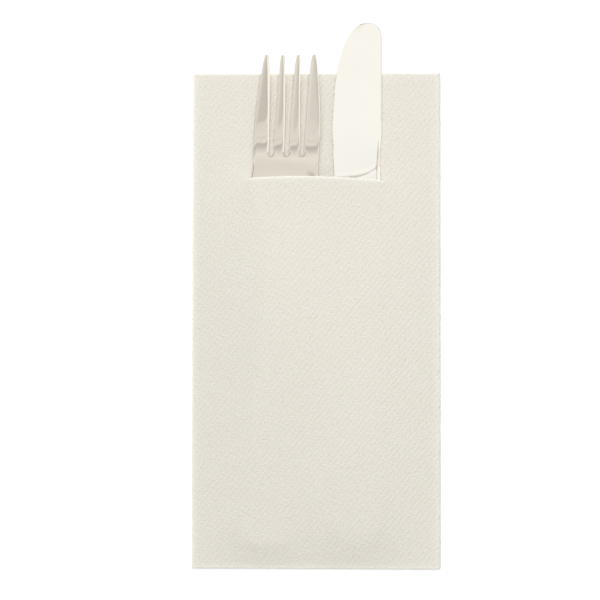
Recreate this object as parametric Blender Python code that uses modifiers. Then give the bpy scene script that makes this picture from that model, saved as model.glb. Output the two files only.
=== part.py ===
"""A folded paper napkin that serves as a cutlery pouch, with the fork and the knife that it holds.

The napkin is one square sheet folded once across and twice lengthwise into eight plies. A slit cut in the
front ply is the mouth of the pouch: below it the fork and the knife lie between the first two plies, above it
they lie on top of the front ply. X runs across the napkin, Y towards its open top edge, Z up out of the front.
All sizes are in millimetres and the finished meshes are scaled to metres.
"""

import math

import bpy
import numpy as np

for old in list(bpy.data.objects):
    bpy.data.objects.remove(old, do_unlink=True)

MM = 0.001

# Sheet and folds
SHEET = 400.0
PLY = 0.38
PLY_GAP = 0.12
PLIES = 8
FRONT_EXTRA = 0.5
FOLD_STEPS = 6

PITCH = PLY + PLY_GAP
STRIP = SHEET / 4
FRONT_LENGTH = SHEET / 2 + FRONT_EXTRA
BACK_LENGTH = SHEET / 2 - FRONT_EXTRA
CROSS_RADIUS = PITCH / 2
CROSS_ARC = math.pi * CROSS_RADIUS
HALF_ARC = math.pi * PITCH
QUARTER_ARC = math.pi * 2 * PITCH
HALF_FOLD = SHEET / 2 - HALF_ARC / 2
QUARTER_FOLD = STRIP - QUARTER_ARC / 2
FOLD_BASE = -STRIP + CROSS_RADIUS + PLY / 2 - CROSS_ARC / 2
LEFT = -STRIP / 2
FRONT_Z = PLY / 2 + (PLIES - 1) * PITCH
FRONT_TOP = FRONT_Z + PLY / 2
POCKET_FLOOR = FRONT_TOP - PITCH

# Clearances between pieces that touch
SEAT = 0.3
COVER = 0.35
SIDE = 0.2

# Main sizes of the cutlery
FORK_LENGTH = 196.0
FORK_WIDTH = 26.8
TINE_LENGTH = 40.0
NECK_THICK = 3.4
FORK_TIP_RISE = 8.0
BOWL_DEPTH = 1.2
FORK_TURN = math.radians(-3.05)
KNIFE_LENGTH = 210.0
BLADE_LENGTH = 99.0
BLADE_WIDTH = 20.36
HANDLE_WIDTH = 17.6
SPINE_THICK = 2.0
EDGE_THICK = 0.35
HANDLE_THICK = 5.2
TIP_DROP = 1.3
EDGE_ROUND = 0.25
TEETH = 17
TOOTH_PITCH = 1.36
TOOTH_DEPTH = 0.32

# Places in the pouch: how deep it is, and how the cutlery stands in it
POUCH_DEPTH = 157.1
FORK_END_GAP = 10.6
KNIFE_END_GAP = 10.8
SPINE_MARGIN = 23.3
BETWEEN = 5.54
FORK_SLACK = 1.7
KNIFE_SLACK = 1.2
SLIT_RISE = 1.1
SLIT_TILT = 1.0
SLIT_WIDTH = 0.4
MOUTH_GAPE = 4.9

SLIT_Y = -STRIP + POUCH_DEPTH
FORK_TIP_Y = -STRIP + FORK_END_GAP + FORK_LENGTH
KNIFE_TIP_Y = -STRIP + KNIFE_END_GAP + KNIFE_LENGTH
SPINE_X = STRIP / 2 - SPINE_MARGIN
FORK_AXIS_X = SPINE_X - BLADE_WIDTH - BETWEEN - FORK_WIDTH / 2
SPINE_STEP = 0.034
SLIT_LEFT = FORK_AXIS_X - FORK_WIDTH / 2 - FORK_SLACK
SLIT_RIGHT = SPINE_X - SPINE_STEP * BLADE_WIDTH + KNIFE_SLACK

# Fork: tines by share of their length, with the outer tine's outside and inside and the inner tine's
# outside and inside by share of the half width
TINE_EDGES = (
    (0.0, 0.764, 0.672, 0.270, 0.199),
    (0.025, 0.776, 0.660, 0.276, 0.193),
    (0.090, 0.810, 0.638, 0.292, 0.173),
    (0.194, 0.844, 0.619, 0.300, 0.158),
    (0.350, 0.893, 0.605, 0.311, 0.146),
    (0.510, 0.940, 0.592, 0.328, 0.127),
    (0.670, 0.972, 0.575, 0.358, 0.107),
    (0.830, 0.976, 0.560, 0.378, 0.099),
    (0.966, 0.976, 0.553, 0.381, 0.097),
    (0.990, 0.974, 0.525, 0.409, 0.070),
    (1.0, 0.973, 0.493, 0.441, 0.035),
)
# from the ends of the slots to the end of the handle: share of that length, share of the half width
FORK_BODY = (
    (0.0, 0.973), (0.021, 0.969), (0.040, 0.983), (0.060, 1.0), (0.080, 0.992), (0.110, 0.925), (0.140, 0.790),
    (0.170, 0.599), (0.200, 0.450), (0.239, 0.350), (0.290, 0.299), (0.368, 0.283), (0.510, 0.343),
    (0.671, 0.478), (0.819, 0.642), (0.910, 0.723), (0.955, 0.702), (0.984, 0.552), (0.996, 0.373),
    (1.0, 0.239),
)
# share of the fork's length, share of the thickness at the neck
FORK_GAUGE = (
    (0.0, 0.353), (0.061, 0.471), (0.209, 0.559), (0.296, 0.647), (0.408, 0.882), (0.5, 1.0),
    (0.663, 0.824), (0.867, 0.706), (1.0, 0.647),
)
# share of the fork's length, share of the rise of the tips over the point that rests on the napkin
FORK_CURVE = (
    (0.0, 1.0), (0.031, 0.75), (0.061, 0.55), (0.102, 0.338), (0.143, 0.175), (0.184, 0.062),
    (0.224, 0.006), (0.255, 0.0), (0.296, 0.056), (0.337, 0.175), (0.378, 0.312), (0.418, 0.425),
    (0.459, 0.5), (0.510, 0.538), (0.561, 0.525), (0.638, 0.45), (0.740, 0.312), (0.842, 0.15),
    (0.929, 0.012),
)
# share of the fork's length, share of the depth of the bowl
FORK_DISH = (
    (0.0, 0.90), (0.060, 0.95), (0.120, 1.0), (0.290, 1.0), (0.340, 0.80), (0.390, 0.35), (0.450, 0.0),
    (1.0, 0.0),
)
FORK_SEAT = 0.255
BODY_LENGTH = FORK_LENGTH - TINE_LENGTH

# Knife: share of the blade's length or of the handle's, and share of its width from the line of the spine
BLADE_CUT = (
    (0.0, 0.365), (0.004, 0.425), (0.012, 0.480), (0.020, 0.523), (0.036, 0.604), (0.054, 0.665),
    (0.079, 0.729), (0.111, 0.789), (0.152, 0.846), (0.185, 0.884), (0.233, 0.920), (0.294, 0.958), (0.356, 0.983),
    (0.416, 1.0), (0.476, 0.993), (0.536, 0.973), (0.606, 0.953), (0.667, 0.940), (0.808, 0.912),
    (0.939, 0.864), (1.0, 0.774),
)
HANDLE_CUT = (
    (0.036, 0.739), (0.081, 0.716), (0.234, 0.795), (0.505, 0.909), (0.775, 1.0), (0.910, 0.989),
    (0.968, 0.886), (0.993, 0.727), (1.0, 0.602),
)
BLADE_SPINE = (
    (0.0, 0.218), (0.004, 0.160), (0.012, 0.098), (0.020, 0.058), (0.036, 0.020), (0.054, 0.003), (0.090, 0.0),
    (0.400, 0.0), (0.535, SPINE_STEP), (0.939, SPINE_STEP), (1.0, 0.048),
)
HANDLE_SPINE = (
    (0.036, 0.074), (0.081, 0.102), (0.234, 0.085), (0.505, 0.057), (0.775, 0.040), (0.910, 0.068),
    (0.968, 0.182), (0.993, 0.330), (1.0, 0.432),
)
BLADE_GAUGE = ((0.0, 0.65), (0.152, 0.85), (0.404, 1.0), (0.939, 1.15))
HANDLE_GAUGE = ((0.0, 0.615), (0.081, 0.846), (0.234, 0.904), (0.595, 1.0), (0.892, 0.962), (0.964, 0.808),
                (1.0, 0.462))
TEETH_FROM = 0.289
KNIFE_REST = 0.595
GRIP_LENGTH = KNIFE_LENGTH - BLADE_LENGTH


# Modelling helpers
def smooth(table, s):
    """The value at s of a soft curve through a table's points."""
    keys = np.array([row[0] for row in table])
    values = np.array([row[1] for row in table])
    steps = np.diff(keys)
    slopes = np.diff(values) / steps
    tangents = np.zeros(len(keys))
    tangents[1:-1] = (slopes[:-1] * steps[1:] + slopes[1:] * steps[:-1]) / (steps[:-1] + steps[1:])
    tangents[1:-1][slopes[:-1] * slopes[1:] <= 0] = 0.0
    tangents[0] = slopes[0]
    tangents[-1] = slopes[-1]
    s = np.clip(s, keys[0], keys[-1])
    k = np.clip(np.searchsorted(keys, s, side="right") - 1, 0, len(steps) - 1)
    h = steps[k]
    t = (s - keys[k]) / h
    start = (1 + 2 * t) * (1 - t) ** 2 * values[k] + t * (1 - t) ** 2 * h * tangents[k]
    return start + t * t * (3 - 2 * t) * values[k + 1] - t * t * (1 - t) * h * tangents[k + 1]


def scaled(table, length, size, start=0.0):
    """A table of shares turned into millimetres along and across."""
    return [(start + row[0] * length, row[1] * size) for row in table]


def spread(stops, counts):
    """Grid lines with the given number of cells between one stop and the next."""
    lines = [stops[0]]
    for a, b, count in zip(stops, stops[1:], counts):
        lines += [a + (b - a) * (k + 1) / count for k in range(count)]
    return lines


def material(name, color, roughness, metallic=0.0):
    mat = bpy.data.materials.new(name)
    mat.use_nodes = True
    shader = mat.node_tree.nodes["Principled BSDF"]
    shader.inputs["Base Color"].default_value = (*color, 1.0)
    shader.inputs["Roughness"].default_value = roughness
    shader.inputs["Metallic"].default_value = metallic
    return mat


def surface(name, points, missing=()):
    """A grid surface through rows of points, without the cells that are missing."""
    rows = len(points)
    columns = len(points[0])
    verts = [tuple(c * MM for c in p) for row in points for p in row]
    faces = []
    for j in range(rows - 1):
        for i in range(columns - 1):
            if (i, j) not in missing:
                a = j * columns + i
                faces.append((a, a + 1, a + columns + 1, a + columns))
    mesh = bpy.data.meshes.new(name)
    mesh.from_pydata(verts, [], faces)
    mesh.update()
    return bpy.data.objects.new(name, mesh)


def thicken(obj, thickness, share=None):
    """Solidify to the full thickness, or to each vertex's share of it."""
    modifier = obj.modifiers.new("Thickness", "SOLIDIFY")
    modifier.thickness = thickness * MM
    modifier.offset = 0.0
    modifier.use_even_offset = True
    if share is not None:
        group = obj.vertex_groups.new(name="thickness")
        for index, weight in enumerate(share):
            group.add([index], float(weight), "REPLACE")
        modifier.vertex_group = group.name
    return modifier


collection = bpy.data.collections.new("cutlery pouch napkin")
bpy.context.scene.collection.children.link(collection)


# Fork
FORK_BODY_HALF = scaled(FORK_BODY, BODY_LENGTH, FORK_WIDTH / 2, TINE_LENGTH)
FORK_THICK = scaled(FORK_GAUGE, FORK_LENGTH, NECK_THICK)
FORK_BASE = FRONT_TOP + SEAT + smooth(FORK_THICK, FORK_SEAT * FORK_LENGTH) / 2
FORK_END_Z = POCKET_FLOOR + SEAT + FORK_THICK[-1][1] / 2
FORK_RISE = scaled(FORK_CURVE, FORK_LENGTH, FORK_TIP_RISE) + [(FORK_LENGTH, FORK_END_Z - FORK_BASE)]
FORK_SIDES = scaled(FORK_DISH, FORK_LENGTH, BOWL_DEPTH)


def fork_frame(x, y):
    """Distance from the tips and offset from the axis of points on the napkin."""
    along = FORK_TIP_Y - y
    axis_x = FORK_AXIS_X - math.tan(FORK_TURN) * (y - SLIT_Y)
    return along, (x - axis_x) * math.cos(FORK_TURN)


def tine_line(column):
    return [(row[0] * TINE_LENGTH, row[column] * FORK_WIDTH / 2) for row in TINE_EDGES]


def fork_half_width(s):
    return np.where(s < TINE_LENGTH, smooth(tine_line(1), s), smooth(FORK_BODY_HALF, s))


def fork_columns(s):
    """Offsets from the axis of the twelve lines that run along the fork."""
    out, gap, side, centre = (float(smooth(tine_line(column), s)) for column in (1, 2, 3, 4))
    if s > TINE_LENGTH:
        ratio = float(smooth(FORK_BODY_HALF, s)) / out
        out, gap, side, centre = out * ratio, gap * ratio, side * ratio, centre * ratio
    right = [centre, (centre + side) / 2, side, gap, (gap + out) / 2, out]
    return [-value for value in reversed(right)] + right


def make_fork():
    tines = (0.0, 0.025, 0.090, 0.194, 0.272, 0.350, 0.510, 0.670, 0.830, 0.915, 0.966, 0.990, 1.0)
    body = (0.020, 0.045, 0.070, 0.097, 0.120, 0.142, 0.165, 0.187, 0.213, 0.239, 0.270, 0.316, 0.368)
    body += (0.445, 0.535, 0.626, 0.716, 0.806, 0.871, 0.916, 0.948, 0.971, 0.987, 0.996, 1.0)
    stations = [f * TINE_LENGTH for f in tines] + [TINE_LENGTH + f * BODY_LENGTH for f in body]
    points = []
    share = []
    for s in stations:
        half = float(fork_half_width(s))
        row = []
        for offset in fork_columns(s):
            x = FORK_AXIS_X + offset / math.cos(FORK_TURN)
            y = FORK_TIP_Y - s
            x -= math.tan(FORK_TURN) * (y - SLIT_Y)
            across = offset / half
            z = FORK_BASE + float(smooth(FORK_RISE, s)) + float(smooth(FORK_SIDES, s)) * across**2
            row.append((x, y, z))
            round_off = 0.62 + 0.38 * math.sqrt(max(0.0, 1 - across**2))
            body_share = min(1.0, max(0.0, (s - TINE_LENGTH) / (0.2 * BODY_LENGTH)))
            full = float(smooth(FORK_THICK, s)) / NECK_THICK
            share.append(full * (1 - body_share + body_share * round_off))
        points.append(row)
    slots = {(i, j) for i in (2, 5, 8) for j in range(len(tines) - 1)}
    fork = surface("fork", points, slots)
    thicken(fork, NECK_THICK, share)
    rounding = fork.modifiers.new("Rounded edges", "BEVEL")
    rounding.width = EDGE_ROUND * MM
    rounding.segments = 1
    rounding.limit_method = "ANGLE"
    rounding.angle_limit = math.radians(50)
    collection.objects.link(fork)
    return fork


# Knife
KNIFE_EDGE = scaled(BLADE_CUT, BLADE_LENGTH, BLADE_WIDTH)
KNIFE_EDGE += scaled(HANDLE_CUT, GRIP_LENGTH, HANDLE_WIDTH, BLADE_LENGTH)
KNIFE_SPINE = scaled(BLADE_SPINE, BLADE_LENGTH, BLADE_WIDTH)
KNIFE_SPINE += scaled(HANDLE_SPINE, GRIP_LENGTH, HANDLE_WIDTH, BLADE_LENGTH)
KNIFE_THICK = scaled(BLADE_GAUGE, BLADE_LENGTH, SPINE_THICK)
KNIFE_THICK += scaled(HANDLE_GAUGE, GRIP_LENGTH, HANDLE_THICK, BLADE_LENGTH)
HANDLE_START = BLADE_LENGTH + 0.081 * GRIP_LENGTH
REST_S = BLADE_LENGTH + KNIFE_REST * GRIP_LENGTH
KNIFE_FRACTIONS = (0.0, 0.08, 0.25, 0.5, 0.75, 0.92, 1.0)


def knife_axis_z(s):
    """Height of the knife's middle plane: it rests on its handle and its tip dips towards the napkin."""
    rest = POCKET_FLOOR + SEAT + HANDLE_THICK / 2
    return rest - TIP_DROP * (REST_S - s) / REST_S


def knife_share(s, f):
    """Thickness at the fraction f of the way from the cutting edge to the spine."""
    full = float(smooth(KNIFE_THICK, s))
    wedge = EDGE_THICK + (full - EDGE_THICK) * min(1.0, f * 1.15)
    barrel = full * (0.3 + 0.7 * math.sqrt(max(0.0, 1 - (2 * f - 1) ** 2)))
    blend = min(1.0, max(0.0, (s - BLADE_LENGTH) / (HANDLE_START - BLADE_LENGTH)))
    blend = blend * blend * (3 - 2 * blend)
    return wedge * (1 - blend) + barrel * blend


def make_knife():
    tip = (0.0, 0.005, 0.015, 0.030, 0.054, 0.081, 0.116, 0.152, 0.192, 0.242)
    heel = (0.566, 0.667, 0.808, 0.939, 1.0)
    grip = (0.018, 0.036, 0.058, 0.081, 0.144, 0.234, 0.369, 0.505, 0.640, 0.775, 0.865, 0.910, 0.946)
    grip += (0.968, 0.984, 0.993, 1.0)
    tooth_rows = [TEETH_FROM * BLADE_LENGTH + k * TOOTH_PITCH / 2 for k in range(2 * TEETH + 1)]
    stations = [f * BLADE_LENGTH for f in tip] + tooth_rows + [f * BLADE_LENGTH for f in heel]
    stations += [BLADE_LENGTH + f * GRIP_LENGTH for f in grip]
    points = []
    share = []
    for j, s in enumerate(stations):
        edge = float(smooth(KNIFE_EDGE, s))
        spine = float(smooth(KNIFE_SPINE, s))
        tooth = j - len(tip)
        if 0 < tooth < len(tooth_rows) and tooth % 2 == 1:
            edge -= TOOTH_DEPTH
        row = []
        for f in KNIFE_FRACTIONS:
            row.append((SPINE_X - edge + (edge - spine) * f, KNIFE_TIP_Y - s, knife_axis_z(s)))
            share.append(knife_share(s, f) / HANDLE_THICK)
        points.append(row)
    knife = surface("knife", points)
    thicken(knife, HANDLE_THICK, share)
    collection.objects.link(knife)
    return knife


# Napkin
def cutlery_span(x, y):
    """Lowest and highest point of the cutlery over each point, or nothing where there is none."""
    s, offset = fork_frame(x, y)
    half = fork_half_width(s)
    middle = FORK_BASE + smooth(FORK_RISE, s) + smooth(FORK_SIDES, s) * (offset / half) ** 2
    thick = smooth(FORK_THICK, s) / 2
    on_fork = (s >= 0) & (s <= FORK_LENGTH) & (np.abs(offset) <= half + SIDE)
    low = np.where(on_fork, middle - thick, np.inf)
    high = np.where(on_fork, middle + thick, -np.inf)
    s = KNIFE_TIP_Y - y
    left = SPINE_X - smooth(KNIFE_EDGE, s) - SIDE
    right = SPINE_X - smooth(KNIFE_SPINE, s) + SIDE
    thick = smooth(KNIFE_THICK, s) / 2
    on_knife = (s >= 0) & (s <= KNIFE_LENGTH) & (x >= left) & (x <= right)
    axis = knife_axis_z(s)
    low = np.minimum(low, np.where(on_knife, axis - thick, np.inf))
    high = np.maximum(high, np.where(on_knife, axis + thick, -np.inf))
    return low, high


def slit_y(x):
    """The slit is cut as a slight arch, a little lower at the knife than at the fork."""
    t = np.clip((x - SLIT_LEFT) / (SLIT_RIGHT - SLIT_LEFT), 0, 1)
    return SLIT_Y + SLIT_RISE * 4 * t * (1 - t) + SLIT_TILT * (0.5 - t)


def cell_extremes(xs, ys):
    """The cutlery's lowest and highest point in each cell of the front ply's grid."""
    low = np.zeros((len(ys) - 1, len(xs) - 1))
    high = np.zeros((len(ys) - 1, len(xs) - 1))
    steps = np.linspace(0, 1, 6)
    for j in range(len(ys) - 1):
        for i in range(len(xs) - 1):
            x, y = np.meshgrid(xs[i] + (xs[i + 1] - xs[i]) * steps, ys[j] + (ys[j + 1] - ys[j]) * steps)
            under, over = cutlery_span(x, y)
            low[j, i] = under.min()
            high[j, i] = over.max()
    return low, high


def front_heights(xs, ys, lip, first, last):
    """How far the front ply stands out at each grid point: a taut cover over the cutlery below the slit,
    held down by the cutlery above it, and free along the cut."""
    low, high = cell_extremes(xs, ys)
    rows = len(ys)
    columns = len(xs)
    floor = np.zeros((rows, columns))
    ceiling = np.full((rows, columns), STRIP)
    for j in range(rows):
        for i in range(columns):
            near = (slice(max(0, j - 1), min(rows - 1, j + 1)), slice(max(0, i - 1), min(columns - 1, i + 1)))
            if j <= lip:
                below = slice(max(0, j - 1), min(lip, j + 1))
                if below.stop > below.start:
                    floor[j, i] = max(0.0, high[below, near[1]].max() + COVER + PLY / 2 - FRONT_Z)
            if j > lip:
                above = slice(max(lip + 1, j - 1), min(rows - 1, j + 1))
                if above.stop > above.start:
                    ceiling[j, i] = max(0.0, low[above, near[1]].min() - SEAT - PLY / 2 - FRONT_Z)
    between = FORK_AXIS_X + FORK_WIDTH / 2 + BETWEEN / 2
    inside = np.abs(xs - between) < BETWEEN
    floor[lip, inside] = np.maximum(floor[lip, inside], MOUTH_GAPE)
    dx = np.diff(xs)
    dy = np.diff(ys)
    wide = np.zeros(columns)
    wide[1:-1] = (dx[:-1] + dx[1:]) / 2
    tall = np.zeros(rows)
    tall[1:-1] = (dy[:-1] + dy[1:]) / 2
    west = np.zeros((rows, columns))
    south = np.zeros((rows, columns))
    west[:, 1:] = tall[:, None] / dx[None, :]
    south[1:, :] = wide[None, :] / dy[:, None]
    south[lip + 1, first + 1 : last] = 0.0
    east = np.zeros_like(west)
    east[:, :-1] = west[:, 1:]
    north = np.zeros_like(south)
    north[:-1, :] = south[1:, :]
    total = west + east + south + north
    total[total == 0] = 1.0
    h = np.maximum(floor, 0.0)
    for _ in range(6000):
        mean = west * np.roll(h, 1, 1) + east * np.roll(h, -1, 1)
        mean += south * np.roll(h, 1, 0) + north * np.roll(h, -1, 0)
        h = np.clip(mean / total, floor, np.maximum(ceiling, floor))
        h[0, :] = 0.0
        h[-1, :] = 0.0
        h[:, 0] = 0.0
        h[:, -1] = 0.0
    return h


def roll(along, height, start, arc, axis):
    """Folds a stack that runs past a line: its points turn round an axis behind it and run back."""
    radius = height - axis
    if along <= start:
        return along, height
    if along >= start + arc:
        return 2 * start + arc - along, 2 * axis - height
    turn = math.pi * (along - start) / arc
    return start + radius * math.sin(turn), axis + radius * math.cos(turn)


def fold(u, v):
    """Place in the folded napkin of a point of the flat sheet, u across it and v up from the cross fold."""
    back, height = roll(-v, 0.0, -CROSS_ARC / 2, CROSS_ARC, -CROSS_RADIUS)
    x, z = roll(u, height, HALF_FOLD, HALF_ARC, -1.5 * PITCH)
    x, z = roll(x, z, QUARTER_FOLD, QUARTER_ARC, -3.5 * PITCH)
    return LEFT + x, FOLD_BASE - back, FRONT_Z + z


def arc_lines(start, arc):
    return [start + arc * k / FOLD_STEPS for k in range(FOLD_STEPS + 1)]


def make_napkin():
    left_end = 3 * FORK_SLACK
    right_end = 3 * KNIFE_SLACK
    stops = [LEFT, SLIT_LEFT - left_end, SLIT_LEFT, SLIT_LEFT + left_end]
    stops += [SLIT_RIGHT - right_end, SLIT_RIGHT, SLIT_RIGHT + right_end, LEFT + QUARTER_FOLD]
    cells = (3, 2, 4, 12, 4, 2, 3)
    front_x = spread(stops, cells)
    across = [x - LEFT for x in front_x] + arc_lines(QUARTER_FOLD, QUARTER_ARC)[1:]
    across += arc_lines(HALF_FOLD, HALF_ARC) + arc_lines(SHEET - QUARTER_FOLD - QUARTER_ARC, QUARTER_ARC)
    across.append(SHEET)
    start = FOLD_BASE + CROSS_ARC / 2
    lip_y = SLIT_Y - SLIT_WIDTH / 2
    depth = lip_y - start
    above = FOLD_BASE + FRONT_LENGTH - lip_y - SLIT_WIDTH
    lower = spread([start + depth * f for f in (0.0, 0.06, 0.16, 0.8, 0.96, 1.0)], (3, 3, 11, 5, 3))
    upper = spread([lip_y + SLIT_WIDTH + above * f for f in (0.0, 0.14, 0.42, 1.0)], (2, 2, 3))
    front_y = lower + upper
    crosswise = [-BACK_LENGTH] + arc_lines(-CROSS_ARC / 2, CROSS_ARC)
    crosswise += [y - FOLD_BASE for y in front_y[1:]]
    xs = np.array(front_x)
    ys = np.array(front_y)
    lip = len(lower) - 1
    first = sum(cells[:2])
    last = sum(cells[:5])
    heights = front_heights(xs, ys, lip, first, last)
    skipped = len(crosswise) - len(ys)
    points = []
    for j, v in enumerate(crosswise):
        row = []
        for i, u in enumerate(across):
            x, y, z = fold(u, v)
            front = j - skipped
            if front >= 0 and i < len(xs):
                z += heights[front, i]
                if front in (lip, lip + 1):
                    y += float(slit_y(x)) - SLIT_Y
            row.append((x, y, z))
        points.append(row)
    slit = {(i, lip + skipped) for i in range(first, last)}
    napkin = surface("napkin", points, slit)
    thicken(napkin, PLY)
    collection.objects.link(napkin)
    return napkin


napkin = make_napkin()
fork = make_fork()
knife = make_knife()
napkin.data.materials.append(material("Airlaid paper", (0.80, 0.77, 0.71), 0.92))
fork.data.materials.append(material("Fork steel", (0.78, 0.77, 0.74), 0.16, 1.0))
knife.data.materials.append(material("Knife steel", (0.82, 0.81, 0.78), 0.14, 1.0))
for part in (fork, knife):
    part.data.shade_smooth()
    part.parent = napkin
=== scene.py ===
# %% [markdown]
# # A cutlery pouch napkin with its fork and knife
#
# The object is a paper napkin folded into a long flat pouch. A fork and a knife are pushed through a slit in
# its front, so their handles lie between the first two plies and their ends lie on top of the front ply.
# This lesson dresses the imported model: it folds a finer sheet, forges finer cutlery, and lights them.

import math

import bmesh
import bpy
import numpy as np
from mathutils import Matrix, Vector, noise


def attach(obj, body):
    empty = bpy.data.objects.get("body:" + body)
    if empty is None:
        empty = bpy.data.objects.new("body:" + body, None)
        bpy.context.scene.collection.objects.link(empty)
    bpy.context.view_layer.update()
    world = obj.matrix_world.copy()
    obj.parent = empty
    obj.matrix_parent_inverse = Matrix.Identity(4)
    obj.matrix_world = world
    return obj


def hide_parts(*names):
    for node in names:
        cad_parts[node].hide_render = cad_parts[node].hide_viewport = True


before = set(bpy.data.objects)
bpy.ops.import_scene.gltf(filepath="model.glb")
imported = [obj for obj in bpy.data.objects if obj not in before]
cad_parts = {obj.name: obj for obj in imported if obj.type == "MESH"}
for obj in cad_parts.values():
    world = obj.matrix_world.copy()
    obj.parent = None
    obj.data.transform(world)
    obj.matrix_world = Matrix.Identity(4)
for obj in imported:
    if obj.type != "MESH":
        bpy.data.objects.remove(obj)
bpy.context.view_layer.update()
MM = 0.001

# %% [markdown]
# ## Sizes
#
# Everything is written in millimetres, as a maker would, and scaled to metres when a mesh is made. The sheet,
# the folds and the places of the cutlery repeat the values of the model's source, because the finer pieces
# stand exactly where its solids stand.

# %% The sheet and its folds
SHEET = 400.0
PLY = 0.38
PITCH = 0.5
PLIES = 8
FRONT_EXTRA = 0.5

STRIP = SHEET / 4
CROSS_RADIUS = PITCH / 2
CROSS_ARC = math.pi * CROSS_RADIUS
HALF_ARC = math.pi * PITCH
QUARTER_ARC = 2 * math.pi * PITCH
HALF_FOLD = SHEET / 2 - HALF_ARC / 2
QUARTER_FOLD = STRIP - QUARTER_ARC / 2
FOLD_BASE = -STRIP + CROSS_RADIUS + PLY / 2 - CROSS_ARC / 2
LEFT = -STRIP / 2
FRONT_Z = PLY / 2 + (PLIES - 1) * PITCH
FRONT_TOP = FRONT_Z + PLY / 2
POCKET_FLOOR = FRONT_TOP - PITCH
print(f"folded: {STRIP:.0f} x {2 * STRIP:.0f} mm, {FRONT_TOP:.2f} mm thick")

# %% The cutlery's sizes and places
FORK_LENGTH, FORK_WIDTH, TINE_LENGTH = 196.0, 26.8, 40.0
NECK_THICK, FORK_TIP_RISE, BOWL_DEPTH = 3.4, 8.0, 1.2
FORK_TURN = math.radians(-3.05)
KNIFE_LENGTH, BLADE_LENGTH, BLADE_WIDTH, HANDLE_WIDTH = 210.0, 99.0, 20.36, 17.6
SPINE_THICK, EDGE_THICK, HANDLE_THICK, TIP_DROP = 2.0, 0.35, 5.2, 1.3
TEETH, TOOTH_PITCH, TOOTH_DEPTH, TEETH_FROM = 17, 1.36, 0.50, 0.289
POUCH_DEPTH, SLIT_RISE, SLIT_TILT, SLIT_WIDTH, MOUTH_GAPE = 157.1, 1.1, 1.0, 0.4, 4.9
FORK_END_GAP, KNIFE_END_GAP, SPINE_MARGIN, BETWEEN = 10.6, 10.8, 23.3, 5.54
FORK_SLACK, KNIFE_SLACK, SPINE_STEP = 1.7, 1.2, 0.034
SEAT, COVER = 0.3, 0.35

SLIT_Y = -STRIP + POUCH_DEPTH
FORK_TIP_Y = -STRIP + FORK_END_GAP + FORK_LENGTH
KNIFE_TIP_Y = -STRIP + KNIFE_END_GAP + KNIFE_LENGTH
SPINE_X = STRIP / 2 - SPINE_MARGIN
FORK_AXIS_X = SPINE_X - BLADE_WIDTH - BETWEEN - FORK_WIDTH / 2
SLIT_LEFT = FORK_AXIS_X - FORK_WIDTH / 2 - FORK_SLACK
SLIT_RIGHT = SPINE_X - SPINE_STEP * BLADE_WIDTH + KNIFE_SLACK
BODY_LENGTH = FORK_LENGTH - TINE_LENGTH
GRIP_LENGTH = KNIFE_LENGTH - BLADE_LENGTH
print(f"slit from x {SLIT_LEFT:.1f} to {SLIT_RIGHT:.1f} at y {SLIT_Y:.1f}")

# %% [markdown]
# ## Curves through tables
#
# A designer gives the outline and the side view of a fork as a few stations. A soft curve through them gives
# every other point. The same curve helper serves the thickness, the curve of the back and the bowl's depth.

# %% A soft curve through a table of stations
def smooth(table, s):
    keys = np.array([row[0] for row in table])
    values = np.array([row[1] for row in table])
    steps = np.diff(keys)
    slopes = np.diff(values) / steps
    tangents = np.zeros(len(keys))
    tangents[1:-1] = (slopes[:-1] * steps[1:] + slopes[1:] * steps[:-1]) / (steps[:-1] + steps[1:])
    tangents[1:-1][slopes[:-1] * slopes[1:] <= 0] = 0.0
    tangents[0] = slopes[0]
    tangents[-1] = slopes[-1]
    s = np.clip(s, keys[0], keys[-1])
    k = np.clip(np.searchsorted(keys, s, side="right") - 1, 0, len(steps) - 1)
    h = steps[k]
    t = (s - keys[k]) / h
    start = (1 + 2 * t) * (1 - t) ** 2 * values[k] + t * (1 - t) ** 2 * h * tangents[k]
    return start + t * t * (3 - 2 * t) * values[k + 1] - t * t * (1 - t) * h * tangents[k + 1]


def scaled(table, length, size, start=0.0):
    return [(start + row[0] * length, row[1] * size) for row in table]


def smoothstep(low, high, value):
    t = np.clip((np.asarray(value, float) - low) / (high - low), 0.0, 1.0)
    return t * t * (3 - 2 * t)


# %% The fork's stations
# share of the tines' length, then the outer tine's outside and inside and the inner tine's, by half width
TINE_EDGES = (
    (0.0, 0.764, 0.672, 0.270, 0.199),
    (0.025, 0.776, 0.660, 0.276, 0.193),
    (0.090, 0.810, 0.638, 0.292, 0.173),
    (0.194, 0.844, 0.619, 0.300, 0.158),
    (0.350, 0.893, 0.605, 0.311, 0.146),
    (0.510, 0.940, 0.592, 0.328, 0.127),
    (0.670, 0.972, 0.575, 0.358, 0.107),
    (0.830, 0.976, 0.560, 0.378, 0.099),
    (0.966, 0.976, 0.553, 0.381, 0.097),
    (1.0, 0.973, 0.550, 0.384, 0.096),
)
FORK_BODY_HALF = scaled((
    (0.0, 0.973), (0.021, 0.969), (0.040, 0.983), (0.060, 1.0), (0.080, 0.992), (0.110, 0.925), (0.140, 0.790),
    (0.170, 0.599), (0.200, 0.450), (0.239, 0.350), (0.290, 0.299), (0.368, 0.283), (0.510, 0.343),
    (0.671, 0.478), (0.819, 0.642), (0.910, 0.723), (0.955, 0.702), (0.984, 0.552), (0.996, 0.373),
    (1.0, 0.239),
), BODY_LENGTH, FORK_WIDTH / 2, TINE_LENGTH)
FORK_THICK = scaled((
    (0.0, 0.353), (0.061, 0.471), (0.209, 0.559), (0.296, 0.647), (0.408, 0.882), (0.5, 1.0),
    (0.663, 0.824), (0.867, 0.706), (1.0, 0.647),
), FORK_LENGTH, NECK_THICK)
FORK_SEAT = 0.255
FORK_BASE = FRONT_TOP + SEAT + smooth(FORK_THICK, FORK_SEAT * FORK_LENGTH) / 2
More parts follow.
